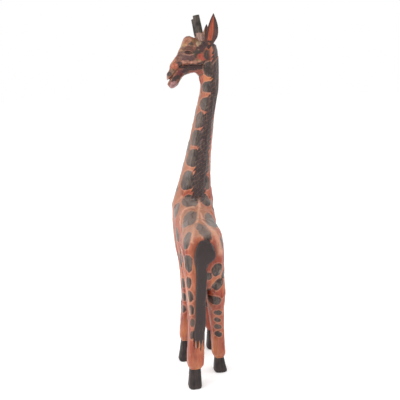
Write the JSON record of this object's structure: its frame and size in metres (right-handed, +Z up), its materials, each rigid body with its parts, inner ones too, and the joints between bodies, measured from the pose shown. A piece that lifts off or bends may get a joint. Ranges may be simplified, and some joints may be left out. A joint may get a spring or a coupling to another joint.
{
  "type": "carved giraffe statue",
  "caption": "Slender carved wooden giraffe standing on dark hooves, long neck upright and head turned to its left, with peg horns, leaf ears and burnt spots.",
  "frame": {"origin": "on the ground plane under the middle of the overall box, soles on Z = 0", "axes": "+Z up, the giraffe faces -Y, its left side is +X"},
  "size_m": [0.0943, 0.2045, 0.61],
  "materials": {
    "body_wood": "satin polished, burnt dark spots",
    "burnt_wood": "satin, burnt near black",
    "horn_wood": "satin, burnt with grain lines",
    "ear_wood": "satin, burnt rim and reddish inside",
    "dowel_wood": "bare turned dowel"
  },
  "bodies": {
    "root": {"torso": "body_wood", "neck": "body_wood", "head": "body_wood", "ear_left": "ear_wood", "ear_right": "ear_wood", "horn_left": "horn_wood", "horn_right": "horn_wood", "tail": "burnt_wood", "foreleg_left": "body_wood", "foreleg_right": "body_wood", "hindleg_left": "body_wood", "hindleg_right": "body_wood", "hoof_fore_left": "burnt_wood", "hoof_fore_right": "burnt_wood", "hoof_hind_left": "burnt_wood", "hoof_hind_right": "burnt_wood", "neck_dowel": "dowel_wood", "head_dowel": "dowel_wood", "leg_dowels": "dowel_wood"}
  },
  "joints": []
}
